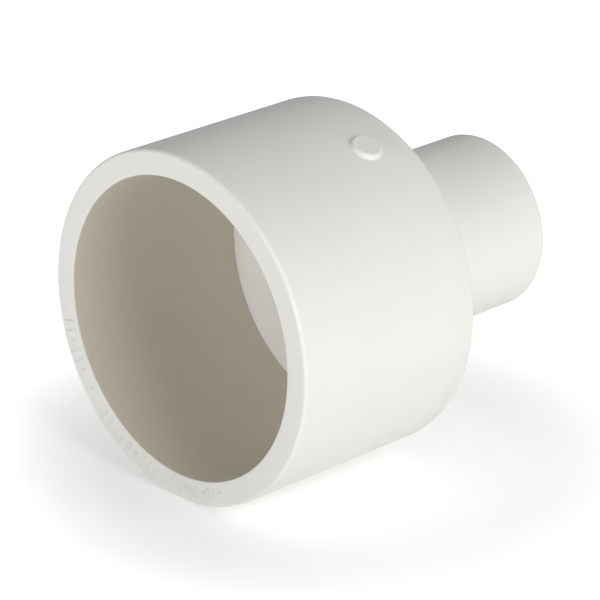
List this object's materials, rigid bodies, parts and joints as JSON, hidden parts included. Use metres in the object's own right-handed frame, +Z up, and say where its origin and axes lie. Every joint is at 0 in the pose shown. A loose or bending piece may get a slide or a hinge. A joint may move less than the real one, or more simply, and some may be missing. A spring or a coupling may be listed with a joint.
{
  "type": "eccentric pipe reducer",
  "caption": "White plastic eccentric reducer: a plain solvent-weld socket for 32 mm waste pipe and an off-centre 21.5 mm spigot.",
  "frame": {"origin": "centre of the socket's mouth, in the plane of its rim", "axes": "+Y along the socket's axis from the mouth towards the spigot, +Z up as the reducer lies on its side, spigot offset 30 degrees above +X"},
  "size_m": [0.0428, 0.0436, 0.0428],
  "materials": {
    "white_plastic": "satin, injection moulded"
  },
  "bodies": {
    "root": {"socket_barrel": "white_plastic", "end_wall": "white_plastic", "spigot_tube": "white_plastic"}
  },
  "joints": []
}
